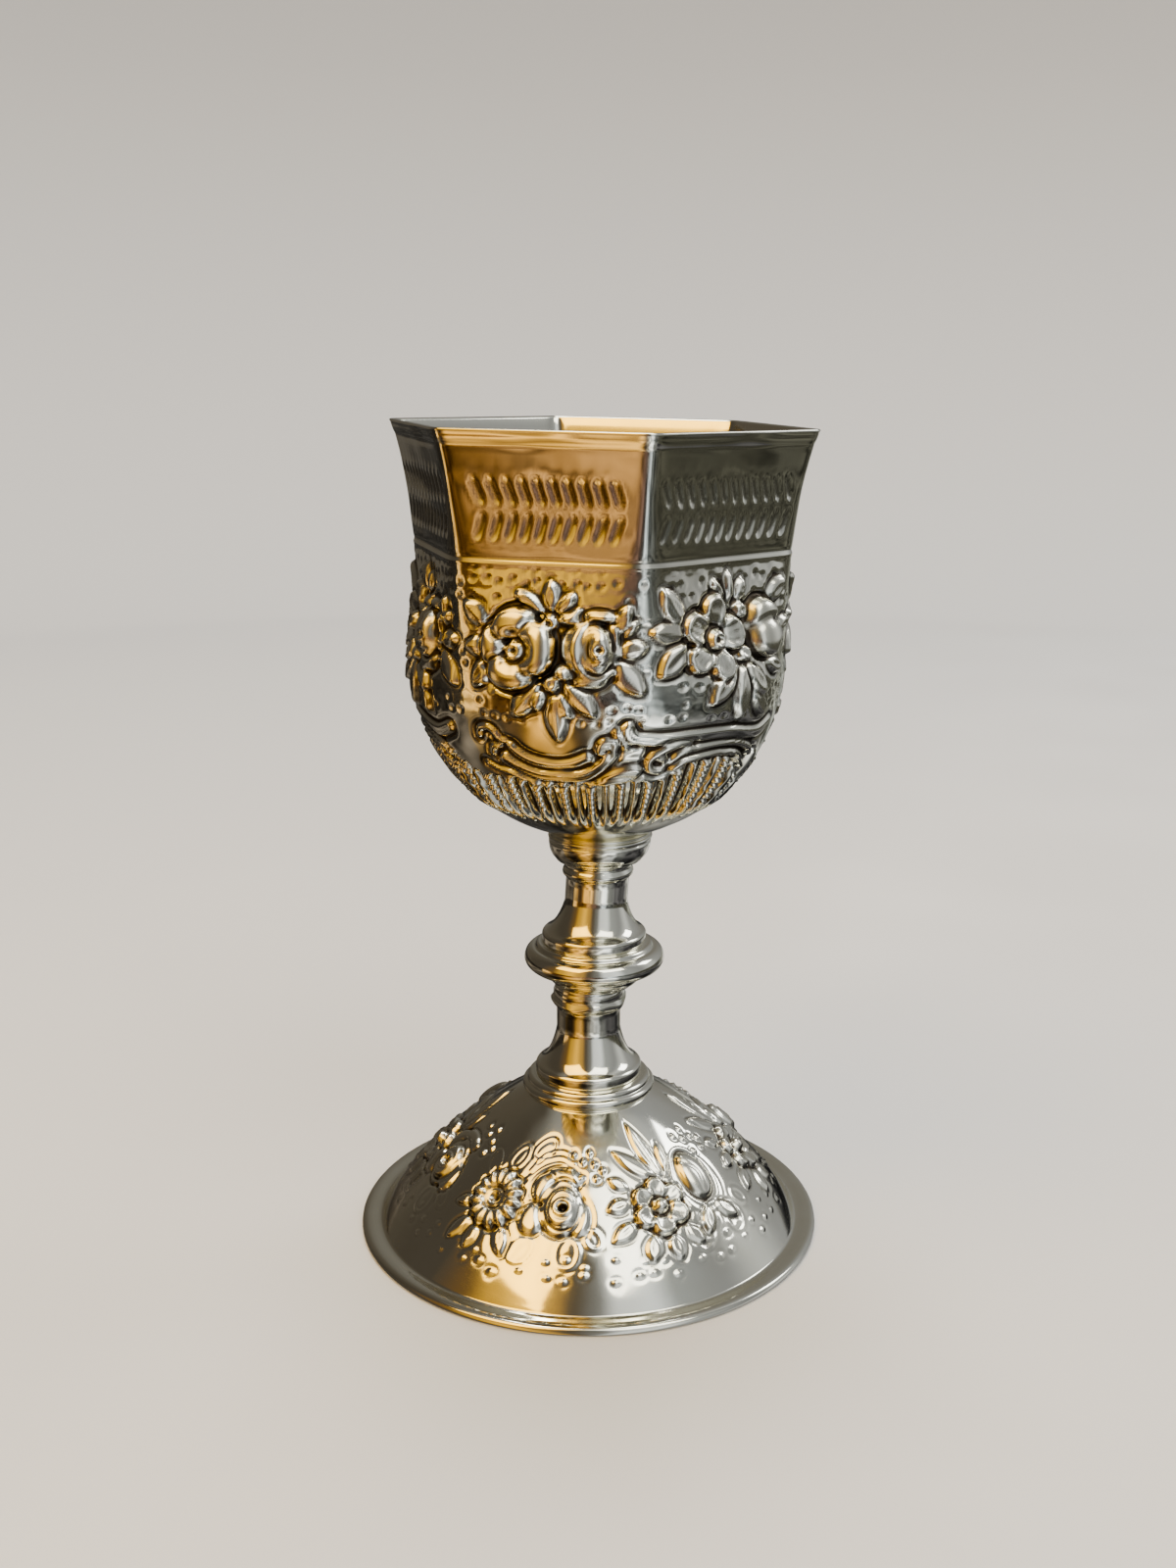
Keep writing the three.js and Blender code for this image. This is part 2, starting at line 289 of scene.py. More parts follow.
def bud(sheet, x, y):
    sheet.dome(x, y, 3.2, 4.15, 1.6, 0.4)
    sheet.dome(x - 0.2, y + 1.7, 2.6, 2.3, 1.2, 0.25, 0.5, 0.8)
    sheet.dome(x + 0.1, y - 1.3, 2.9, 2.8, 1.5, 0.45, 0.5, 0.8)
    sheet.line([(x + 0.9, y + 1.1), (x + 1.7, y + 0.2), (x + 1.9, y - 1.2), (x + 1.0, y - 3.1)], 0.26, -0.4)


# Leaves round the flowers, as base, tip, width and number of veins.
POPPY_LEAVES = [
    ((-10.1, 95.0), (-13.4, 98.1), 2.6, 2), ((-9.7, 92.2), (-13.7, 92.4), 2.4, 2),
    ((-9.3, 91.2), (-12.4, 87.0), 2.8, 1),
    ((-2.0, 97.0), (-6.2, 99.7), 2.0, 1), ((-0.9, 97.0), (-1.2, 101.2), 2.4, 1), ((-0.4, 96.8), (2.3, 99.6), 1.9, 1),
    ((-2.2, 88.4), (-6.1, 83.6), 2.8, 2), ((-1.7, 87.4), (-3.0, 84.6), 1.5, 1), ((0.4, 87.2), (1.9, 83.6), 1.4, 0),
    ((0.8, 88.6), (5.3, 83.9), 2.5, 2), ((-0.3, 87.6), (0.1, 80.4), 2.8, 2),
]
ROSE_LEAVES = [
    ((8.9, 94.2), (10.6, 96.4), 1.4, 0), ((7.6, 94.0), (9.6, 98.3), 2.2, 1), ((7.4, 92.1), (12.1, 93.0), 2.5, 2),
    ((6.9, 91.8), (11.7, 86.6), 3.0, 3), ((0.6, 96.3), (3.3, 97.6), 1.3, 0),
]
DAISY_LEAVES = [
    ((-9.2, 94.6), (-13.4, 100.4), 3.0, 2), ((-9.0, 94.2), (-15.0, 94.8), 2.6, 3),
    ((-8.6, 93.2), (-13.6, 88.8), 3.5, 1),
    ((-1.6, 97.2), (-4.2, 101.0), 1.9, 1), ((-0.6, 97.6), (-1.0, 102.0), 1.6, 0), ((0.9, 97.2), (2.0, 100.8), 2.0, 1),
    ((2.0, 86.8), (4.6, 81.8), 2.6, 1), ((-1.0, 89.6), (-6.0, 84.6), 3.0, 1), ((1.0, 89.6), (4.6, 85.0), 2.8, 1),
    ((0.2, 89.6), (-0.8, 81.9), 2.8, 1),
]
BUD_LEAVES = [
    ((6.6, 96.6), (10.2, 100.2), 2.6, 1), ((8.2, 93.0), (12.2, 94.4), 2.0, 1), ((5.0, 89.6), (9.6, 87.6), 2.4, 1),
]


def bouquet(sheet, left, right):
    for base, tip, width, veins in POPPY_LEAVES if left == "poppy" else DAISY_LEAVES:
        sheet.leaf(base, tip, width, 0.85, veins, 1.15)
    for base, tip, width, veins in ROSE_LEAVES if right == "rose" else BUD_LEAVES:
        sheet.leaf(base, tip, width, 0.85, veins, 1.3)
    blossoms = [(-1.25, 95.8), (-0.6, 88.2)] if left == "poppy" else [(1.1, 96.5), (0.6, 90.9)]
    for x, y in blossoms:
        sheet.dome(x, y, 1.25, 1.2, 0.7, 0.3)
        sheet.eye(x, y, 0.72, 0.28, 0.45, 0.4)
    if right == "rose":
        rose(sheet, 4.1, 92.9)
    else:
        bud(sheet, 5.3, 93.9)
    if left == "poppy":
        poppy(sheet, -5.76, 92.3)
    else:
        daisy(sheet, -4.45, 93.2)


# ---- Scrolls and flutes ----

def swag(sheet):
    """A hanging scroll: two bands with a hooked end, over a long teardrop."""
    sheet.band([(-12.7, 80.2), (-12.3, 81.2), (-10.8, 81.5), (-9.7, 80.8), (-9.2, 79.8), (-8.1, 79.6), (-7.3, 79.1)],
               0.9, 0.35, 0.05)
    sheet.band([(-10.9, 77.7), (-10.6, 78.7), (-9.4, 78.9)], 0.7, 0.3, 0)
    sheet.band([(-7.4, 79.0), (-6.1, 78.0), (-4.2, 77.2), (-1.2, 76.75), (1.0, 76.9), (2.8, 77.5), (3.9, 78.0),
                (4.5, 77.8)], 1.45, 0.42, 0.2, 0.1)
    sheet.band([(-12.6, 76.1), (-10.6, 75.3), (-8.0, 74.9), (-6.4, 74.2), (-3.4, 73.6), (-1.4, 73.8), (2.0, 74.0),
                (4.6, 73.8)], 0.6, 0.3, 0)
    sheet.band([(-9.0, 77.2), (-6.6, 76.1), (-3.4, 75.2), (0.2, 75.15), (3.4, 75.4), (5.3, 76.4), (6.7, 77.7),
                (7.6, 78.9), (7.2, 80.1), (6.2, 80.0), (5.8, 79.0)], 1.7, 0.45, 0.22, 0.12)
    sheet.line([(5.6, 77.8), (6.3, 78.9), (7.0, 79.2), (7.3, 78.3)], 0.2, -0.3)
    sheet.leaf((3.6, 73.5), (12.2, 76.4), 2.5, 0.5, 0, 2.1, 0.5, 0.3)
    sheet.line([(5.8, 74.6), (8.6, 75.3), (10.6, 75.3)], 0.22, -0.25)


def arch(sheet):
    """A standing scroll: a long band from a lobe, over a volute and two arches."""
    sheet.dome(-18.0, 81.0, 1.9, 1.75, 0.45, 0.3, 0.2)
    sheet.band([(-17.5, 82.3), (-16.9, 81.1), (-15.3, 80.5), (-12.2, 80.3), (-8.0, 80.4), (-4.5, 80.4), (-1.0, 80.2),
                (2.4, 79.6), (5.4, 79.4), (8.4, 80.4)], 1.8, 0.42, 0.2, 0.05)
    sheet.line([(-17.0, 82.2), (-16.4, 81.2), (-14.8, 80.8), (-12.6, 80.9)], 0.2, -0.25)
    for z in (79.25, 78.55, 77.85):
        sheet.band([(-18.4, z), (-15.0, z - 0.1)], 0.45, 0.25, 0, outline=0.2)
    sheet.band([(-8.0, 79.4), (-10.4, 79.3), (-12.6, 78.7), (-14.1, 77.6), (-14.0, 76.4), (-12.6, 75.9), (-11.4, 76.6),
                (-11.8, 77.6), (-12.6, 77.7)], 1.2, 0.45, 0.15, 0.2)
    sheet.band([(-10.8, 76.9), (-9.7, 78.1), (-7.2, 78.75), (-3.4, 78.85), (-0.4, 78.6), (2.2, 78.1), (4.4, 77.3),
                (5.6, 76.2)], 1.05, 0.42, 0.05, 0.15)
    sheet.band([(-10.4, 76.0), (-8.8, 76.9), (-6.4, 77.35), (-3.4, 77.6), (0.0, 77.3), (2.2, 76.6), (3.6, 75.4),
                (5.2, 74.3)], 0.9, 0.42, 0.0, 0.15)


FLUTE_DEG = 10.35  # from one ribbed bar to the next
FLUTE_START = 246.5
RUNG = 0.84  # from one rung of a ribbed bar to the next, in millimetres
CUT_DEPTH = 1.6
FLUTES_FROM, FLUTES_FULL = 66.0, 69.0


def fluting(angle, z, head):
    """Bars fanned out under the bowl: a plain one and a ribbed one by turns, with deep cuts between them."""
    slew = 2.2 * smoothstep(z, 76, 66) * np.sin(np.radians(angle - 262) * 2.0)
    phase = np.mod((angle - slew - FLUTE_START) / FLUTE_DEG, 1.0)
    ribbed = np.minimum(phase, 1 - phase) * FLUTE_DEG
    plain = np.abs(phase - 0.5) * FLUTE_DEG
    zone = between(z, FLUTES_FROM, FLUTES_FULL, head - 0.5, head)
    rungs = 0.5 + 0.5 * np.cos(2 * np.pi * z / RUNG)
    uneven = 0.35 * np.sin(2.3 * np.floor((angle - slew - FLUTE_START) / FLUTE_DEG))
    bars = (1 - smoothstep(ribbed, 1.5, 2.2)) * (0.5 - 0.85 * rungs**2 * smoothstep(z, 68.6, 69.4))
    bars += 0.65 * np.sqrt(np.clip(1 - (plain / (1.25 + uneven)) ** 2, 0, 1))
    cuts = CUT_DEPTH * hump(ribbed - 3.1 - uneven, 1.1) * smoothstep(z, 66.4, 70.5)
    return zone * (bars - cuts)


# ---- Strokes in the place of the lettering ----

def strokes(sheet, low, high, half_length):
    """Two rows of shallow slanting strokes, the rows leaning opposite ways."""
    pitch, tall = 2.1, 2.9
    for middle, lean in ((low + 1.9, 0.35), (high - 1.9, -0.35)):
        x = sheet.across - lean * (sheet.up - middle)
        cell = (np.floor(x / pitch) + 0.5) * pitch
        d = np.hypot(x - cell, np.maximum(0, np.abs(sheet.up - middle) - tall / 2 + 0.3))
        on = (np.abs(sheet.up - middle) < 2.35) * (np.abs(cell) < half_length)
        sheet.height += on * (0.07 * hump(d - 0.75, 0.3) - 0.2 * hump(d, 0.4))


# ---- Bowl ----

def rim_sides():
    corners = [(math.radians(turn + half), radius) for half in (0, 180) for turn, radius in RIM_DIAGONALS]
    corners = [(radius * math.cos(turn), radius * math.sin(turn)) for turn, radius in corners]
    sides = []
    for (x, y), (end_x, end_y) in zip(corners, corners[1:] + corners[:1]):
        length = math.hypot(end_x - x, end_y - y)
        run, rise = (end_x - x) / length, (end_y - y) / length
        sides.append((math.atan2(-run, rise), (x * rise - y * run) / RIM_RADIUS))
    return sides


SIDES = rim_sides()


def section_share(turn, z):
    """The radius at a turn, as a share of that at the corners. The bowl goes from round to six-sided."""
    power = 2 * 30 ** smoothstep(z, ROUND_TO, SIX_SIDED_FROM)
    total = sum((np.maximum(1e-9, np.cos(turn - facing)) / distance) ** power for facing, distance in SIDES)
    return (2 / total) ** (1 / power)


def corner_radius(z):
    lip = BELLY_RADIUS + 0.7
    belly = np.sqrt(np.maximum(0, BELLY_RADIUS**2 - (BELLY_CENTRE - np.minimum(z, BELLY_CENTRE)) ** 2))
    side = BELLY_RADIUS + (lip - BELLY_RADIUS) * np.clip((z - BELLY_CENTRE) / (LIP_LINE - BELLY_CENTRE), 0, 1) ** 1.5
    flare = np.clip((z - LIP_LINE) / (CUP_HEIGHT - LIP_LINE), 0, 1)
    top = lip + (RIM_RADIUS - lip) * (0.6 * flare + 0.4 * flare**3)
    return np.where(z <= BELLY_CENTRE, belly, np.where(z <= LIP_LINE, side, top))


PANELS = [("daisy", "rose"), ("poppy", "rose"), ("daisy", "bud")]
ARC = math.radians(1) * BELLY_RADIUS  # the bowl's girth, in millimetres a degree
PANEL_REACH = 46  # how far a panel's flowers and scrolls run each way from its middle, in degrees
ARCH_DEG = 120  # from one arch to the next
FLOWERS_TO = 103
SIDE_REACH = 31  # how far a side of the rim runs each way from its middle, in degrees

# Where chasing lies on the bowl, in millimetres above the table: where a zone starts, is full, fades and ends.
UPPER_PUNCHES = (89.0, 89.4, 102.2, 102.6)
LOWER_PUNCHES = (82.3, 82.7, 88.6, 89.0)
STROKES_FROM, STROKES_TO = 105.8, 114.2


def past(angle, middle):
    return np.mod(angle - middle + 180, 360) - 180


def bowl_chasing(angle, z):
    """The height of the chasing outside the bowl."""
    total = np.zeros_like(angle)
    for k in range(6):
        from_middle = past(angle, BOUQUET_DEG + FACE_DEG * k)
        mine = (np.abs(from_middle) < PANEL_REACH) & (z < FLOWERS_TO)
        sheet = Sheet(from_middle[mine] * ARC, z[mine])
        if k % 2 == 0:
            swag(sheet)
        else:
            arch(sheet)
        bouquet(sheet, *PANELS[k % 3])
        total[mine] = np.where(np.abs(sheet.height) > np.abs(total[mine]), sheet.height, total[mine])
    ground = Sheet(angle * ARC, z)
    ground.height = total
    ground.punch_marks(between(z, *UPPER_PUNCHES), pitch=1.85, radius=0.38, depth=0.22)
    side = np.abs(past(np.mod(angle - BOUQUET_DEG, FACE_DEG), 0.0))
    side = np.minimum(side, FACE_DEG - side)
    lower = between(z, *LOWER_PUNCHES) * smoothstep(29 - side, 0, 3)
    ground.punch_marks(lower, pitch=2.05, radius=0.38, depth=0.2, seed=3.0)
    total = ground.height
    from_arch = np.abs(np.mod(angle - BOUQUET_DEG, ARCH_DEG) - ARCH_DEG / 2)
    head = 74.2 + 3.0 * (1 - smoothstep(from_arch, 12, 27))
    total = total + fluting(angle, z, head) * np.exp(-np.clip(np.abs(total) - 0.05, 0, None) / 0.1)
    total += 0.14 * hump(z - LIP_LINE + 0.3, 0.3) - 0.13 * hump(z - LIP_LINE - 0.25, 0.22)
    total += 0.1 * smoothstep(z, RIM_CREASE, RIM_CREASE + 0.4) - 0.08 * hump(z - RIM_CREASE, 0.3)
    for k in range(6):
        corner = RIM_DIAGONALS[k % 3][0] + 180 * (k // 3)
        following = RIM_DIAGONALS[(k + 1) % 3][0] + 180 * ((k + 1) // 3)
        from_middle = past(angle, (corner + following) / 2)
        mine = (np.abs(from_middle) < SIDE_REACH) & (z > 104)
        sheet = Sheet(from_middle[mine] * ARC, z[mine])
        strokes(sheet, STROKES_FROM, STROKES_TO, ARC * (following - corner) / 2 - 1.6)
        total[mine] += sheet.height
    return total + hand_waves(angle, z, 0.06 + 0.06 * smoothstep(z, 103, 108))


# ---- Foot ----

DOME_FOOT = (31.6, 1.4)
DOME_HEAD = (9.7, 21.2)
DOME_BULGE = 1.6
DOME_SLANT = math.hypot(DOME_HEAD[0] - DOME_FOOT[0], DOME_HEAD[1] - DOME_FOOT[1])
FOOT_ARC = math.radians(1) * 22.0  # the foot's girth at its flowers, in millimetres a degree


def dome_point(slant):
    share = slant / DOME_SLANT
    swell = 4 * share * (1 - share) * DOME_BULGE
    run, rise = (DOME_HEAD[0] - DOME_FOOT[0]) / DOME_SLANT, (DOME_HEAD[1] - DOME_FOOT[1]) / DOME_SLANT
    return DOME_FOOT[0] + run * slant + rise * swell, DOME_FOOT[1] + rise * slant - run * swell


def drawn(sheet, points, height=0.28):
    """A fine raised line with its sides struck down."""
    sheet.line(points, 0.5, -0.16)
    sheet.line(points, 0.24, height)


def loop(sheet, x, y, half, tall, lean=0.0):
    turns = np.linspace(-math.pi / 2, 1.5 * math.pi, 11)
    drawn(sheet, [(x + half * math.cos(t) + lean * math.sin(t), y + tall * math.sin(t)) for t in turns], 0.26)


def sunflower(sheet, x, y):
    at = sheet.near(x, y, 6)
    dx, dy = sheet.across[at] - x, (sheet.up[at] - y) / 1.18
    r, turn = np.hypot(dx, dy), np.arctan2(dy, dx)
    rays = 0.5 + 0.5 * np.cos(14 * turn + 0.5 * np.sin(2 * turn))
    reach = 3.5 + 0.45 * rays
    q = r / reach
    roll = np.sqrt(np.clip(1 - ((q - 0.7) / 0.34) ** 2, 0, 1))
    sheet.lay(at, (1 - q) * reach, 0.12 + roll * (0.5 + 0.4 * rays), 0.25)
    sheet.eye(x, y, 1.1, 0.3, 0.25, 0.45)


# Leaves on the foot, as base, tip and width, and for the daisy's the number of veins.
SUNFLOWER_LEAVES = [
    ((-11.6, 10.2), (-13.4, 6.0), 1.5), ((-10.0, 9.6), (-10.6, 5.8), 1.5), ((-7.0, 10.6), (-5.6, 6.2), 1.8),
    ((-12.4, 12.6), (-15.0, 11.0), 1.5),
]
FOOT_DAISY_LEAVES = [
    ((-5.8, 17.2), (-13.4, 22.8), 2.4, 2), ((-5.6, 17.8), (-8.0, 27.0), 3.0, 2),
    ((-4.6, 17.8), (-3.4, 22.6), 1.5, 1), ((-12.2, 15.0), (-15.6, 14.0), 2.2, 1),
    ((-11.8, 12.0), (-15.2, 9.4), 2.2, 1), ((-12.0, 17.0), (-15.0, 18.6), 1.8, 1),
    ((-10.0, 9.8), (-10.8, 6.0), 2.0, 1), ((-7.6, 9.4), (-7.4, 5.6), 2.0, 1), ((-5.2, 10.0), (-3.8, 6.8), 1.8, 1),
]
FOOT_ROSE_PETALS = [
    (-3.0, 12.2, 1.7, 2.3, 0.7), (3.4, 13.0, 1.5, 2.6, 0.7), (0.4, 18.6, 3.3, 1.7, 0.6), (-2.4, 17.0, 1.7, 2.2, 0.75),
]
BERRIES = [(3.7, 21.4), (5.9, 20.9), (3.7, 18.9), (6.2, 18.8), (5.0, 22.8), (7.3, 20.0), (1.9, 22.4)]


def foot_sunflower(sheet):
    for base, tip, width in SUNFLOWER_LEAVES:
        sheet.leaf(base, tip, width, 0.32, 1)
    loop(sheet, -8.6, 20.6, 1.3, 2.0, 0.5)
    loop(sheet, -4.2, 22.8, 2.0, 1.9, 0.9)
    loop(sheet, -13.0, 18.6, 1.2, 1.9, -0.6)
    for lift in (0.0, 1.2, 2.4):
        high = 0.8 * lift
        drawn(sheet, [(-5.6, 16.6 + lift), (-4.0, 19.4 + lift), (-0.8, 20.9 + high), (2.2, 20.2 + high)])
    sunflower(sheet, -9.2, 13.8)


def foot_daisy(sheet, x, y):
    for base, tip, width, veins in FOOT_DAISY_LEAVES:
        sheet.leaf(base, tip, width, 0.36, veins)
    for k in range(6):
        sheet.petal(x, y, 25 + 60 * k, 0.6, 4.3, 3.3, 0.8, 0.3, 0.6)
    at = sheet.near(x, y, 2.6)
    sheet.height[at] -= 0.35 * hump(np.hypot(sheet.across[at] - x, sheet.up[at] - y), 1.8)
    sheet.dome(x, y, 1.15, 1.15, 0.75, 0.4, 0.5, 0.35)


def foot_rose(sheet):
    for x, y, half, tall, height in FOOT_ROSE_PETALS:
        sheet.dome(x, y, half, tall, 0.65 * height, 0.2)
    sheet.dome(0.9, 14.3, 2.9, 4.0, 1.0, 0.3)
    sheet.dome(1.1, 14.2, 2.0, 2.8, 0.25, 0.4, 0.5, 0.85)
    coil = [(0.9 + 2.5 * math.cos(t), 14.3 + 3.4 * math.sin(t)) for t in np.linspace(0.6, 5.2, 9)]
    sheet.line(coil, 0.25, -0.25)
    sheet.eye(1.2, 14.2, 1.0, 0.32, 0.25, 1.6)


def foot_bud(sheet):
    loop(sheet, 0.0, 15.6, 4.0, 5.2)
    loop(sheet, 0.2, 15.9, 3.3, 4.6)
    sheet.leaf((-0.8, 11.6), (-2.6, 7.6), 2.0, 0.45, 1)
    sheet.leaf((0.8, 11.4), (2.8, 7.8), 2.0, 0.45, 1)
    sheet.dome(0.0, 16.2, 2.6, 3.8, 1.05, 0.3)
    sheet.line([(-1.6, 19.0), (0.2, 16.4), (-0.2, 13.4)], 0.25, -0.2)


def foot_flowers(sheet, left, right):
    for x, y, half, tall, lean in [(-3.3, 7.6, 1.2, 1.9, 0.5), (2.3, 8.0, 1.35, 2.2, 0.1), (5.3, 10.0, 1.0, 1.4, -0.3)]:
        loop(sheet, x, y, half, tall, lean)
    if left == "sunflower":
        foot_sunflower(sheet)
    else:
        foot_daisy(sheet, -7.9, 13.6)
    if right == "rose":
        foot_rose(sheet)
    else:
        foot_bud(sheet)
    for x, y in BERRIES:
        sheet.dome(x, y, 0.5, 0.5, 0.3, 0.12)


FOOT_PANELS = [("daisy", "rose"), ("sunflower", "rose"), ("daisy", "bud")]
FOOT_PANEL_REACH = 44  # in degrees each way from a panel's middle
BEAD_ROWS = [(4.5, 54, 0.0), (6.6, 48, 3.2)]  # how far up the foot, how many beads, and the turn they start at


def foot_chasing(angle, slant):
    """The height of the chasing outside the foot."""
    total = np.zeros_like(angle)
    for k in range(6):
        from_middle = past(angle, BOUQUET_DEG + FACE_DEG * k)
        mine = np.abs(from_middle) < FOOT_PANEL_REACH
        sheet = Sheet(from_middle[mine] * FOOT_ARC, slant[mine])
        foot_flowers(sheet, *FOOT_PANELS[k % 3])
        total[mine] = np.where(np.abs(sheet.height) > np.abs(total[mine]), sheet.height, total[mine])
    for ring, count, start in BEAD_ROWS:
        spot = np.floor((angle + start) / (360.0 / count))
        off = np.mod(angle + start, 360.0 / count) - (0.5 + 0.22 * np.sin(spot * 1.7)) * 360.0 / count
        away = np.hypot(off * 0.5, slant - ring - 0.6 * np.sin(spot * 2.4))
        total += (0.26 * hump(away, 0.36) - 0.07 * hump(away - 0.65, 0.25)) * np.exp(-np.abs(total) / 0.05)
    return total + hand_waves(angle, slant, 0.05)


# ---- Outlines made into sheet ----

SAME_PLACE = 2e-7  # points nearer than this, in metres, become one


def wrapped(name, rows, columns, place):
    """A grid wrapped round the upright axis. place(rows, angles) gives the points and the chasing's height."""
    bm = bmesh.new()
    bmesh.ops.create_grid(bm, x_segments=columns, y_segments=rows - 1, size=1.0)
    mesh = bpy.data.meshes.new(name)
    bm.to_mesh(mesh)
    bm.free()
    flat = np.empty(len(mesh.vertices) * 3, np.float32)
    mesh.vertices.foreach_get("co", flat)
    row = np.rint((flat[1::3] + 1) / 2 * (rows - 1)).astype(int)
    column = np.rint((flat[0::3] + 1) / 2 * columns).astype(int) % columns
    points, height = place(np.arange(rows)[:, None], BACK_DEG + np.arange(columns)[None, :] * 360.0 / columns)
    mesh.vertices.foreach_set("co", (points[row, column] * MM).astype(np.float32).ravel())
    # The hollow layer darkens the silver in the recesses: tarnish together with painted shade.
    for layer_name, value in (("hollow", hollowness(height)), ("raised", np.abs(height))):
        layer = mesh.attributes.new(layer_name, "FLOAT", "POINT")
        layer.data.foreach_set("value", value[row, column].astype(np.float32))
    bm = bmesh.new()
    bm.from_mesh(mesh)
    bpy.data.meshes.remove(mesh)
    bmesh.ops.remove_doubles(bm, verts=bm.verts, dist=SAME_PLACE)
    bmesh.ops.recalc_face_normals(bm, faces=bm.faces)
    return bm


def softened(height):
    """Takes the last sharpness off the chasing, as long polishing does."""
    for side in (0, 1):
        height = 0.6 * height + 0.2 * (np.roll(height, 1, side) + np.roll(height, -1, side))
    return height


def hollowness(height):
    """How far each place lies below what is round it, which is where tarnish stays and where shade is painted."""
    def around(steps):
        total = 0
        for down, across in steps:
            moved = np.roll(height, across, 1)
            total = total + np.roll(moved, down, 0)
        return total / len(steps) - height

    near = around([(2, 0), (-2, 0), (0, 1), (0, -1), (1, 1), (-1, 1), (1, -1), (-1, -1)])
    # The wide sum reaches further and paints the shade cast between the raised flowers.
    wide = around([(4, 0), (-4, 0), (0, 3), (0, -3), (3, 2), (-3, 2), (3, -2), (-3, -2)])
    return 2.2 * near + wide


def spaced(low, high, step):
    return list(np.linspace(low, high, max(2, int(round((high - low) / step)) + 1))[:-1])


BOWL_COLUMNS = 480  # faces round the bowl


def make_bowl(material):
    # Rows from the base up, closest together where the chasing is finest.
    outer_z = [BOWL_BASE, BOWL_BASE]
    for low, high, step in ((BOWL_BASE, 65.8, 0.65), (65.8, 69.0, 0.36), (69.0, 76.5, 0.22), (76.5, 82.8, 0.29),
                            (82.8, 99.5, 0.27), (99.5, 102.8, 0.32), (102.8, 104.1, 0.2)):
        outer_z += spaced(low, high, step)
    outer_z += [104.3, 105.0] + spaced(105.4, 114.6, 0.46)
    outer_z += [114.6, 115.6, 116.8, 117.6, 117.9, 118.2, 118.5, 119.1, 119.6]
    outer_z = np.array(outer_z)
    outer_r = corner_radius(outer_z)
    outer_r[:3] = 0.0, 4.0, 7.2
    edge_z = np.array([119.86, 120.0, 120.0, 119.86])
    edge_r = RIM_RADIUS + np.array([0.0, -0.2, -0.55, -WALL + 0.02])
    upper_z = np.array([119.6, 118.6, 117, 113, 109, 105, 101, 96, 91])
    turns = np.linspace(math.pi / 2, 0, 9)
    inner_z = np.concatenate([upper_z, BELLY_CENTRE - (BELLY_RADIUS - WALL) * np.cos(turns)])
    inner_r = np.concatenate([corner_radius(upper_z) - WALL, (BELLY_RADIUS - WALL) * np.sin(turns)])
    inner_r[-1] = 0.0
    z_of = np.concatenate([outer_z, edge_z, inner_z])[:, None]
    r_of = np.concatenate([outer_r, edge_r, inner_r])[:, None]
    outside = len(outer_z)

    def place(row, angle):
        turn = np.radians(angle)
        z, radius = z_of[row[:, 0]], r_of[row[:, 0]]
        height = np.zeros((len(row), angle.shape[1]))
        some = np.broadcast_to(np.mod(angle, 360.0), (outside - 3, angle.shape[1]))
        high = np.broadcast_to(z[3:outside], some.shape)
        height[3:outside] = softened(bowl_chasing(some.ravel(), high.ravel()).reshape(some.shape))
        height[outside:outside + 2] = 0.1
        lean = np.clip((BELLY_CENTRE - z) / BELLY_RADIUS, 0, 1) * (row < outside)
        out = radius * section_share(turn, z) + height * np.sqrt(1 - lean * lean)
        up = z - height * lean
        tilt = out * np.cos(turn) * RIM_TILT * smoothstep(up, 85, CUP_HEIGHT)
        return np.stack([BOWL_OFFSET + out * np.cos(turn), out * np.sin(turn), up - tilt], 2), height

    bm = wrapped("bowl", len(z_of), BOWL_COLUMNS, place)
    finished("raised_bowl", bm, material, "bowl")


FOOT_COLUMNS = 530  # faces round the foot


def make_foot(material):
    ceiling = FOOT_TOP - 2
    inside = [(0.0, ceiling), (7.0, ceiling), (7.6, ceiling - 0.15)]
    inside += [tuple(c - WALL for c in dome_point(DOME_SLANT * share)) for share in np.linspace(0.985, 0.03, 14)]
    inside += [(30.6, 0.3), (30.7, 0.06), (30.9, 0.0)]
    edge = [(FOOT_RADIUS - 0.5 + 0.5 * math.sin(t), 0.55 - 0.55 * math.cos(t)) for t in np.linspace(0, math.pi, 9)]
    edge[-1] = (FOOT_RADIUS - 0.55, 1.15)
    flange = [(33.9, 1.22), (33.2, 1.18), (32.6, 1.12), (32.1, 1.1), (31.8, 1.16), (31.68, 1.28)]
    slants = np.array(spaced(0, 3.2, 0.45) + spaced(3.2, 27.6, 0.2) + list(np.linspace(27.6, DOME_SLANT, 5)))
    rings = [(9.62, 21.25), (9.75, 21.4), (9.92, 21.7), (9.98, 22.05), (9.9, 22.4), (9.66, 22.66), (9.35, 22.75),
             (9.22, 22.85), (9.24, 23.0), (9.22, 23.2), (9.08, 23.42), (8.8, 23.6), (8.5, 23.68), (8.2, 23.72),
             (8.05, FOOT_TOP - 0.02), (0.0, FOOT_TOP - 0.02)]
    outline = np.array(inside + edge + flange + [dome_point(s) for s in slants] + rings)
    first = len(inside) + len(edge) + len(flange)
    last = first + len(slants)
    out_r, out_z = (DOME_HEAD[1] - DOME_FOOT[1]) / DOME_SLANT, (DOME_FOOT[0] - DOME_HEAD[0]) / DOME_SLANT

    def place(row, angle):
        turn = np.radians(angle)
        height = np.zeros((len(row), angle.shape[1]))
        some = np.broadcast_to(np.mod(angle, 360.0), (len(slants), angle.shape[1]))
        up = np.broadcast_to(slants[:, None], some.shape)
        ease = between(up, 0.3, 2.0, DOME_SLANT - 1.2, DOME_SLANT - 0.2)
        height[first:last] = softened(foot_chasing(some.ravel(), up.ravel()).reshape(some.shape)) * ease
        out = outline[:, :1] + height * out_r
        return np.stack([out * np.cos(turn), out * np.sin(turn), outline[:, 1:] + height * out_z], 2), height

    bm = wrapped("foot", len(outline), FOOT_COLUMNS, place)
    finished("chased_foot", bm, material, "foot")


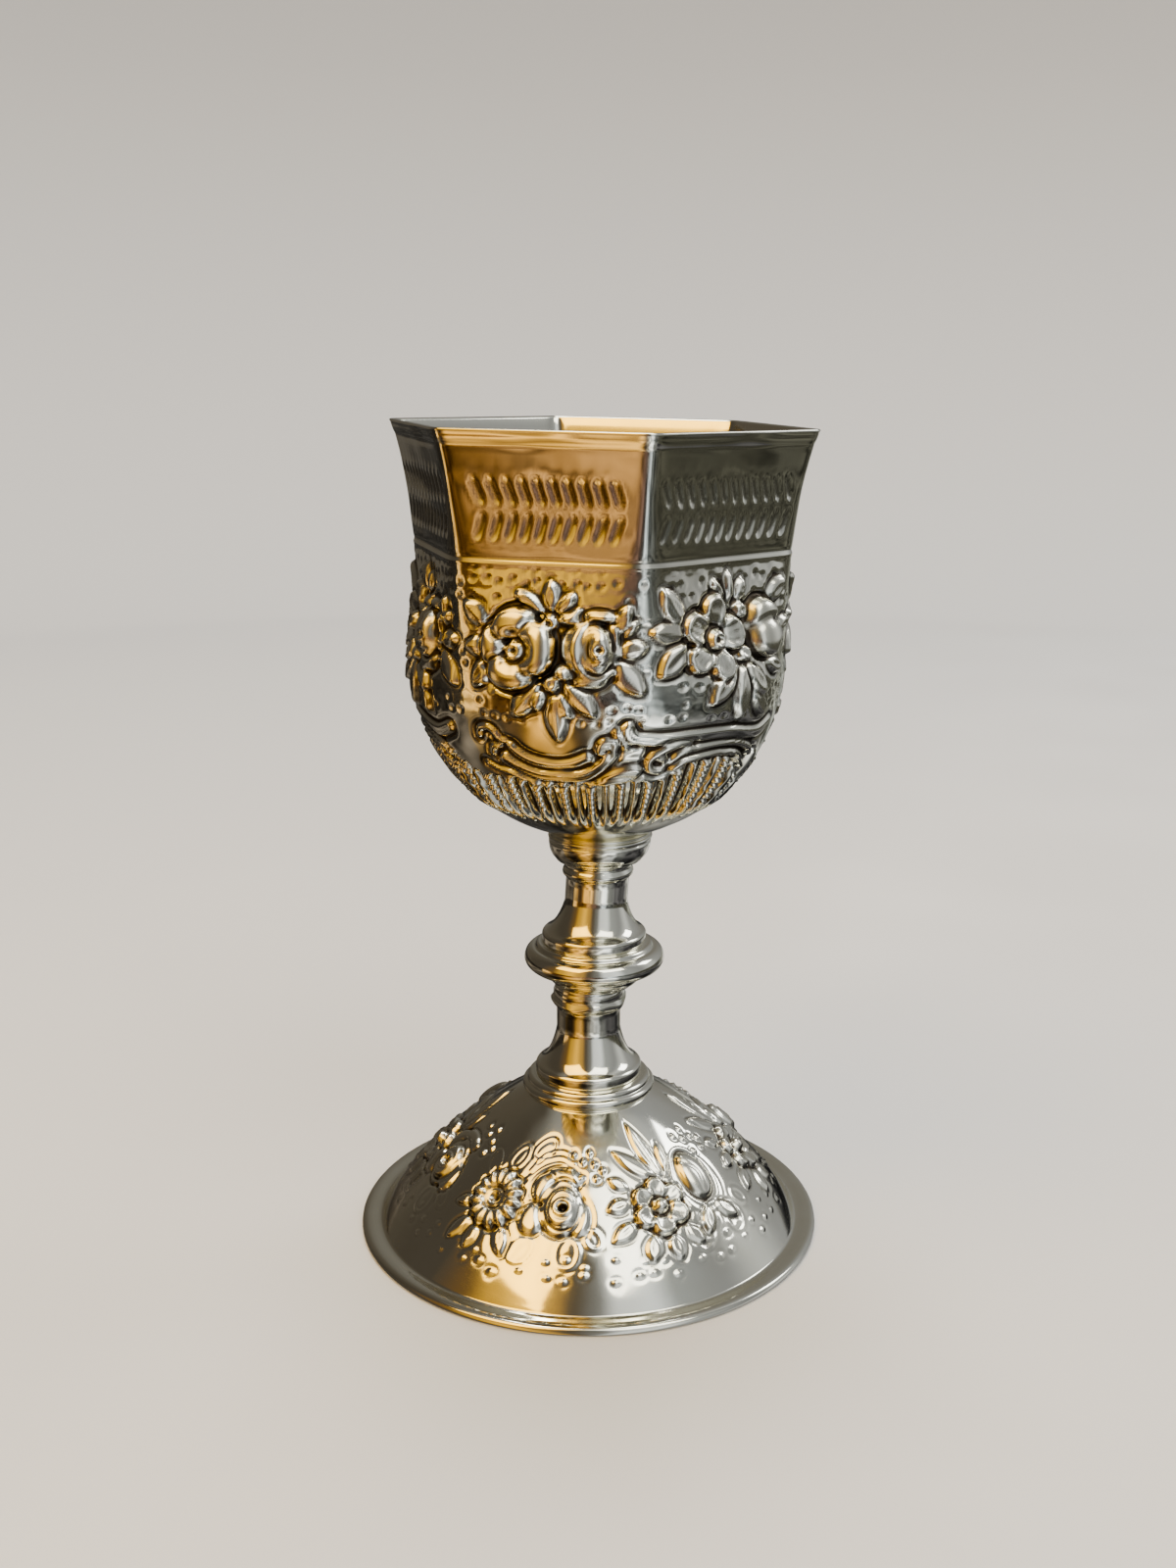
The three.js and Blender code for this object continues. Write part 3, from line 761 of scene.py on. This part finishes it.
# ---- Stem ----

def spun(outline, steps):
    """An outline of (radius, height) in metres, spun round the axis."""
    bm = bmesh.new()
    verts = [bm.verts.new((radius, 0.0, height)) for radius, height in outline]
    edges = [bm.edges.new(pair) for pair in zip(verts, verts[1:])]
    bmesh.ops.spin(bm, geom=verts + edges, cent=(0, 0, 0), axis=(0, 0, 1), dvec=(0, 0, 0), angle=math.tau,
                   steps=steps, use_merge=True)
    return bm


def turned(outline):
    """A closed shape from an outline in millimetres that goes from the axis and back to it."""
    bm = spun([(radius * MM, height * MM) for radius, height in outline], 144)
    bmesh.ops.remove_doubles(bm, verts=bm.verts, dist=1e-7)
    bmesh.ops.recalc_face_normals(bm, faces=bm.faces)
    return bm


def curve(start, control, end, steps):
    """A turned hollow or swelling between two points of an outline, without its first point."""
    out = []
    for t in np.arange(1, steps + 1) / steps:
        out.append(tuple((1 - t) ** 2 * start[i] + 2 * t * (1 - t) * control[i] + t * t * end[i] for i in (0, 1)))
    return out


def placed(name, data):
    ob = bpy.data.objects.new(name, data)
    bpy.context.scene.collection.objects.link(ob)
    return ob


def smooth_object(name, bm, material):
    mesh = bpy.data.meshes.new(name)
    bm.to_mesh(mesh)
    bm.free()
    mesh.polygons.foreach_set("use_smooth", [True] * len(mesh.polygons))
    mesh.materials.append(material)
    return placed(name, mesh)


def finished(name, bm, material, node):
    piece = smooth_object(name, bm, material)
    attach(piece, "root")
    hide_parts(node)


def stem_tube(base, foot_radius, neck, neck_from, neck_to):
    """The flared lower part of a stem tube: an upright band, a rolled shoulder and a sweep in to the neck."""
    band = 1.35
    outline = [(0, base), (foot_radius - 0.2, base), (foot_radius - 0.03, base + 0.08), (foot_radius, base + 0.25)]
    outline += [(foot_radius, base + 0.5 * band), (foot_radius, base + band - 0.25)]
    shoulder = (foot_radius - 0.5, base + band + 0.42)
    outline += curve((foot_radius, base + band - 0.25), (foot_radius, base + band + 0.2), shoulder, 6)
    outline += curve(shoulder, (neck + 0.9, base + band + 1.35), (neck, neck_from), 18)
    outline += [(neck, z) for z in np.linspace(neck_from, neck_to, 5)[1:]]
    return outline


def cup_under(outline, z, throat, mouth, height):
    """A small pressed cup: a crisp edge at the bottom and a swelling side."""
    outline += [(throat - 0.5, z - 0.1), (throat - 0.12, z - 0.1), (throat, z + 0.02), (throat + 0.05, z + 0.2)]
    outline += curve((throat + 0.05, z + 0.2), (mouth - 0.15, z + 0.35 * height), (mouth, z + height), 12)


def make_lower_stem(material):
    top = LOWER_STEM_TOP - 0.02
    outline = stem_tube(FOOT_TOP, 8.0, 4.78, 31.0, 34.2)
    outline += [(4.85, 34.4), (5.05, 34.6), (5.25, 34.9), (5.35, 35.3), (5.3, 35.7), (5.15, 36.0), (5.1, 36.3),
                (5.2, 36.6), (5.25, 36.9), (5.12, 37.2), (5.05, 37.6), (5.05, top), (0, top)]
    bm = turned(outline)
    # The solder has run unevenly round the joint.
    for vert in bm.verts:
        z = vert.co.z / MM
        if 34.0 < z < 37.2 and vert.co.xy.length > 3 * MM:
            turn = math.atan2(vert.co.y, vert.co.x)
            run = math.exp(-(((z - 35.4 - 0.35 * math.sin(2 * turn + 0.6)) / 0.75) ** 2))
            lump = 0.5 + 0.5 * math.sin(3 * turn + 1.1) * math.sin(5 * turn + 2.7 + z)
            vert.co.xy *= 1 + run * 0.085 * lump
            vert.co.z += run * 0.3 * MM * math.sin(4 * turn + 0.5)
    finished("lower_tube", bm, material, "lower_stem")


def make_knop(material):
    z = LOWER_STEM_TOP
    outline = [(0, z)]
    cup_under(outline, z + 0.12, 5.8, 7.0, 1.55)
    outline += [(7.1, 39.72), (7.22, 39.8), (7.25, 39.95), (7.15, 40.05), (7.2, 40.12)]
    outline += curve((7.2, 40.12), (10.25, 40.55), (10.42, 42.1), 14)
    outline += curve((10.42, 42.1), (10.4, 43.55), (9.15, 43.95), 12)
    outline += [(8.98, 43.93), (8.85, 43.98), (8.72, 44.12)]
    outline += curve((8.72, 44.12), (8.6, 44.62), (8.2, 44.66), 6)
    outline += [(8.0, 44.6), (7.9, KNOP_TOP), (0, KNOP_TOP)]
    bm = turned(outline)
    bmesh.ops.translate(bm, verts=bm.verts, vec=(KNOP_OFFSET * MM, 0, 0))
    finished("knop_disc", bm, material, "knop")


def make_upper_stem(material):
    outline = stem_tube(KNOP_TOP + 0.02, 7.75, 4.65, 51.0, 54.6)
    outline += [(4.72, 54.85), (4.95, 55.0), (5.18, 55.25), (5.25, 55.6), (5.18, 55.95), (4.98, 56.2), (4.9, 56.4),
                (4.95, 56.8), (5.15, 57.15), (5.5, 57.4)]
    cup_under(outline, 57.6, 6.35, 7.5, 2.6)
    outline += [(7.5, 60.35), (7.35, 60.5), (7.3, 60.6), (7.42, 60.7), (7.6, 60.85), (7.66, 61.05), (7.6, 61.25),
                (7.42, 61.38), (7.25, 61.42), (7.2, 61.5), (7.4, 61.58), (7.46, 61.7),
                (7.4, UPPER_STEM_TOP), (0, UPPER_STEM_TOP)]
    bm = turned(outline)
    for vert in bm.verts:
        share = (vert.co.z / MM - KNOP_TOP) / (UPPER_STEM_TOP - KNOP_TOP)
        vert.co.x += (STEM_BASE_OFFSET + (STEM_TOP_OFFSET - STEM_BASE_OFFSET) * share) * MM
    finished("upper_tube", bm, material, "upper_stem")


# ---- Materials ----

def filled(tree, node, inputs):
    """Sets each input of the node to a value, or joins it to another node's output."""
    for key, value in inputs.items():
        if isinstance(value, bpy.types.NodeSocket):
            tree.links.new(value, node.inputs[key])
        else:
            node.inputs[key].default_value = value
    return node


def node_at(tree, kind, inputs):
    return filled(tree, tree.nodes.new(kind), inputs)


def math_at(tree, operation, *values):
    node = tree.nodes.new("ShaderNodeMath")
    node.operation = operation
    return filled(tree, node, dict(enumerate(values))).outputs[0]


def wear_group():
    """Fine handling scratches and cloudy tarnish, for all the silver."""
    tree = bpy.data.node_groups.new("silver_wear", "ShaderNodeTree")
    for name, default in (("Scratch Scale", 900.0), ("Cloud Scale", 70.0)):
        socket = tree.interface.new_socket(name, in_out="INPUT", socket_type="NodeSocketFloat")
        socket.default_value = default
    for name in ("Scratches", "Clouds"):
        tree.interface.new_socket(name, in_out="OUTPUT", socket_type="NodeSocketFloat")
    start = tree.nodes.new("NodeGroupInput")
    end = tree.nodes.new("NodeGroupOutput")
    place = tree.nodes.new("ShaderNodeTexCoord").outputs["Object"]
    stretch = {"Vector": place, "Scale": (1.0, 1.0, 0.12), "Rotation": (0.5, 0.3, 0.0)}
    stretched = node_at(tree, "ShaderNodeMapping", stretch).outputs["Vector"]
    lines = node_at(tree, "ShaderNodeTexNoise", {
        "Vector": stretched, "Scale": start.outputs["Scratch Scale"], "Detail": 3.0, "Roughness": 0.6})
    clouds = node_at(tree, "ShaderNodeTexNoise", {
        "Vector": place, "Scale": start.outputs["Cloud Scale"], "Detail": 4.0, "Roughness": 0.55})
    filled(tree, end, {"Scratches": lines.outputs["Fac"], "Clouds": clouds.outputs["Fac"]})
    return tree


def remap(tree, source, low, high, to_low, to_high):
    inputs = {"Value": source, "From Min": low, "From Max": high, "To Min": to_low, "To Max": to_high}
    return node_at(tree, "ShaderNodeMapRange", inputs).outputs["Result"]


def mixed(tree, factor, first, second):
    node = tree.nodes.new("ShaderNodeMix")
    node.data_type = "RGBA"
    # 6 and 7 are the node's two colours, and 2 is the mixed one.
    return filled(tree, node, {"Factor": factor, 6: first, 7: second}).outputs[2]


BRIGHT_SILVER = (0.93, 0.91, 0.79, 1)
CLOUDED_SILVER = (0.85, 0.815, 0.67, 1)
# Colour of the hollows: tarnish together with painted shade.
TARNISH_AND_SHADE = (0.06, 0.045, 0.032, 1)


def silver(name, wear, patina_and_shade, polish, scratch_scale):
    """Silver in the given state of polish. With patina and painted shade it is dark in the hollows and satin on the
    raised work.
    """
    material = bpy.data.materials.new(name)
    material.use_nodes = True
    tree = material.node_tree
    shader = tree.nodes["Principled BSDF"]
    marks = tree.nodes.new("ShaderNodeGroup")
    marks.node_tree = wear
    marks.inputs["Scratch Scale"].default_value = scratch_scale
    clouds = remap(tree, marks.outputs["Clouds"], 0.3, 0.75, 0.0, 1.0)
    colour = mixed(tree, clouds, BRIGHT_SILVER, CLOUDED_SILVER)
    roughness = remap(tree, marks.outputs["Clouds"], 0.3, 0.75, polish, polish + 0.07)
    if patina_and_shade:
        hollow = tree.nodes.new("ShaderNodeAttribute")
        hollow.attribute_name = "hollow"
        # The hollows are darkened towards the tarnish colour: part tarnish, part painted shade.
        dark = remap(tree, hollow.outputs["Fac"], 0.07, 0.55, 0.0, 0.96)
        colour = mixed(tree, dark, colour, TARNISH_AND_SHADE)
        raised = tree.nodes.new("ShaderNodeAttribute")
        raised.attribute_name = "raised"
        satin = remap(tree, raised.outputs["Fac"], 0.1, 0.7, 0.0, 1.0)
        for source, share in ((dark, 0.3), (satin, 0.11)):
            roughness = math_at(tree, "MULTIPLY_ADD", source, share, roughness)
    scratches = {"Height": marks.outputs["Scratches"], "Strength": 0.06, "Distance": 0.00004}
    bump = node_at(tree, "ShaderNodeBump", scratches).outputs["Normal"]
    filled(tree, shader, {"Base Color": colour, "Metallic": 1.0, "Roughness": roughness, "Normal": bump})
    return material


wear = wear_group()
chased_silver = silver("chased_silver", wear, True, 0.075, 900.0)
stem_silver = silver("stem_silver", wear, False, 0.07, 700.0)

make_bowl(chased_silver)
make_foot(chased_silver)
make_lower_stem(stem_silver)
make_knop(stem_silver)
make_upper_stem(stem_silver)


# ---- Floor, light and camera ----

FLOOR_RADIUS = 0.6
FLOOR_BEND = 0.35
WALL_TOP = 2.2


def floor():
    """A pale round floor that sweeps up into a wall all round the cup, in metres."""
    bend = [(FLOOR_RADIUS + FLOOR_BEND * math.sin(t), FLOOR_BEND - FLOOR_BEND * math.cos(t))
            for t in np.linspace(0, math.pi / 2, 17)]
    bm = spun([(0, 0), *bend, (FLOOR_RADIUS + FLOOR_BEND, WALL_TOP)], 96)
    bmesh.ops.remove_doubles(bm, verts=bm.verts, dist=1e-6)
    paint = bpy.data.materials.new("pale_floor")
    paint.use_nodes = True
    shader = paint.node_tree.nodes["Principled BSDF"]
    filled(paint.node_tree, shader, {"Base Color": (0.74, 0.73, 0.71, 1), "Roughness": 0.7})
    plane = smooth_object("floor", bm, paint)
    plane.visible_glossy = plane.visible_diffuse = False


def softbox(name, turn, rise, distance, size, power, colour):
    """A square soft light at a compass turn and a rise, in degrees, aimed at the middle of the cup."""
    turn, rise = math.radians(turn), math.radians(rise)
    away = Vector((math.cos(rise) * math.cos(turn), math.cos(rise) * math.sin(turn), math.sin(rise)))
    lamp = bpy.data.lights.new(name, "AREA")
    lamp.size = size
    lamp.energy = power
    lamp.color = colour
    ob = placed(name, lamp)
    ob.location = Vector((0, 0, CUP_HEIGHT / 2 * MM)) + away * distance
    ob.rotation_euler = (-away).to_track_quat("-Z", "Y").to_euler()
    ob.visible_camera = False


# What the cards round the cup show at each compass turn, in degrees, with the glow's strength in the colour.
# The near ones light the stem, and the far ones the bowl.
NEAR_CARDS = [
    (-180, (0.25, 0.17, 0.08)), (-160, (0.08, 0.06, 0.04)), (-145, (0.14, 0.085, 0.04)), (-130, (0.95, 0.53, 0.14)),
    (-113, (1.1, 0.64, 0.2)), (-99, (0.24, 0.19, 0.14)), (-88, (0.36, 0.34, 0.31)), (-75, (1.2, 1.22, 1.24)),
    (-58, (1.0, 1.05, 1.12)), (-46, (0.2, 0.21, 0.22)), (-15, (0.09, 0.09, 0.1)), (30, (0.1, 0.1, 0.11)),
    (62, (0.5, 0.5, 0.48)), (85, (0.1, 0.1, 0.1)), (150, (0.14, 0.12, 0.1)),
]
FAR_CARDS = [
    (-180, (1.2, 0.78, 0.3)), (-170, (0.95, 0.55, 0.18)), (-158, (0.1, 0.05, 0.015)), (-141, (0.09, 0.042, 0.012)),
    (-131, (0.2, 0.1, 0.028)), (-118, (0.48, 0.27, 0.11)), (-98, (0.16, 0.1, 0.08)), (-80, (0.08, 0.07, 0.07)),
    (-66, (0.75, 0.84, 0.95)), (-50, (0.12, 0.13, 0.14)), (-10, (0.075, 0.075, 0.064)), (30, (0.085, 0.085, 0.075)),
    (62, (0.3, 0.31, 0.29)), (80, (0.05, 0.05, 0.05)), (150, (0.035, 0.03, 0.025)),
]


def cards(name, inner, outer, turns):
    """A ring of dark and light cards on the floor, seen only in the silver. Its radii are in metres."""
    glow = bpy.data.materials.new(name + "_glow")
    glow.use_nodes = True
    tree = glow.node_tree
    tree.nodes.clear()
    place = tree.nodes.new("ShaderNodeTexCoord").outputs["Object"]
    patches = node_at(tree, "ShaderNodeTexNoise", {"Vector": place, "Scale": 20.0, "Detail": 2.0})
    away = node_at(tree, "ShaderNodeVectorMath", {0: place})
    away.operation = "LENGTH"
    patchy = remap(tree, patches.outputs["Fac"], 0.36, 0.66, 0.25, 2.0)
    power = math_at(tree, "MULTIPLY", patchy, remap(tree, away.outputs["Value"], 0.05, 0.12, 0.3, 1.0))
    light = node_at(tree, "ShaderNodeEmission", {"Color": turn_ramp(tree, place, turns), "Strength": power})
    node_at(tree, "ShaderNodeOutputMaterial", {"Surface": light.outputs["Emission"]})
    ring = smooth_object(name, spun([(inner, 0.001), (outer, 0.001)], 72), glow)
    ring.visible_camera = ring.visible_diffuse = ring.visible_shadow = ring.visible_transmission = False


# What the silver sees of the room above the floor, at each compass turn.
ROOM = [
    (-180, (0.1, 0.08, 0.06)), (-162, (0.16, 0.1, 0.045)), (-146, (0.6, 0.35, 0.07)), (-128, (0.95, 0.56, 0.11)),
    (-112, (0.5, 0.3, 0.09)), (-99, (0.12, 0.1, 0.075)), (-85, (0.2, 0.2, 0.2)), (-72, (0.75, 0.78, 0.83)),
    (-54, (0.82, 0.86, 0.92)), (-36, (0.34, 0.36, 0.38)), (-10, (0.28, 0.29, 0.31)), (15, (0.55, 0.57, 0.6)),
    (38, (0.3, 0.31, 0.33)), (80, (0.2, 0.195, 0.185)), (125, (0.105, 0.093, 0.077)), (158, (0.08, 0.07, 0.058)),
]


def turn_ramp(tree, place, turns):
    """Colours by compass turn round the upright axis."""
    turn = tree.nodes.new("ShaderNodeTexGradient")
    turn.gradient_type = "RADIAL"
    tree.links.new(place, turn.inputs["Vector"])
    ramp = tree.nodes.new("ShaderNodeValToRGB")
    ramp.color_ramp.interpolation = "EASE"
    stops = ramp.color_ramp.elements
    while len(stops) < len(turns):
        stops.new(0.5)
    for stop, (degrees, colour) in zip(stops, turns):
        stop.position = (degrees + 180) / 360
        stop.color = (*colour, 1)
    tree.links.new(turn.outputs["Fac"], ramp.inputs["Fac"])
    return ramp.outputs["Color"]


def studio():
    bpy.context.scene.view_settings.look = "AgX - Medium High Contrast"
    world = bpy.data.worlds.new("studio")
    bpy.context.scene.world = world
    world.use_nodes = True
    tree = world.node_tree
    way = tree.nodes.new("ShaderNodeTexCoord").outputs["Generated"]
    parts = tree.nodes.new("ShaderNodeSeparateXYZ")
    tree.links.new(way, parts.inputs["Vector"])
    rise = remap(tree, parts.outputs["Z"], 0.1, 0.95, 0.0, 1.0)
    plain = mixed(tree, rise, (0.3, 0.3, 0.3, 1), (0.6, 0.6, 0.6, 1))
    top = remap(tree, parts.outputs["Z"], 0.8, 0.99, 0.0, 1.0)
    room = mixed(tree, top, turn_ramp(tree, way, ROOM), (0.36, 0.36, 0.35, 1))
    seen = tree.nodes.new("ShaderNodeLightPath").outputs["Is Glossy Ray"]
    tree.links.new(mixed(tree, seen, plain, room), tree.nodes["Background"].inputs["Color"])
    softbox("cool", 308, 57, 0.8, 0.46, 1.6, (1.0, 0.98, 0.9))
    softbox("warm", 221, 53, 0.8, 0.58, 3.1, (1.0, 0.62, 0.14))
    softbox("side", 20, 35, 0.9, 0.3, 1.2, (0.95, 0.97, 1.0))
    softbox("high", 90, 75, 1.6, 0.7, 12, (1.0, 0.99, 0.97))
    cards("near_cards", 0.036, 0.2, NEAR_CARDS)
    cards("far_cards", 0.2, 0.9, FAR_CARDS)


CAMERA_PLACE = (-0.00008, -0.2357, 0.1288)
CAMERA_DIP = 14.33  # how far it looks down, in degrees


def camera():
    lens = bpy.data.cameras.new("camera")
    lens.lens = 38.32
    lens.sensor_width = 36.0
    lens.clip_start = 0.01
    ob = placed("camera", lens)
    ob.location = CAMERA_PLACE
    ob.rotation_euler = (math.radians(90 - CAMERA_DIP), 0, 0)
    bpy.context.scene.camera = ob


floor()
studio()
camera()
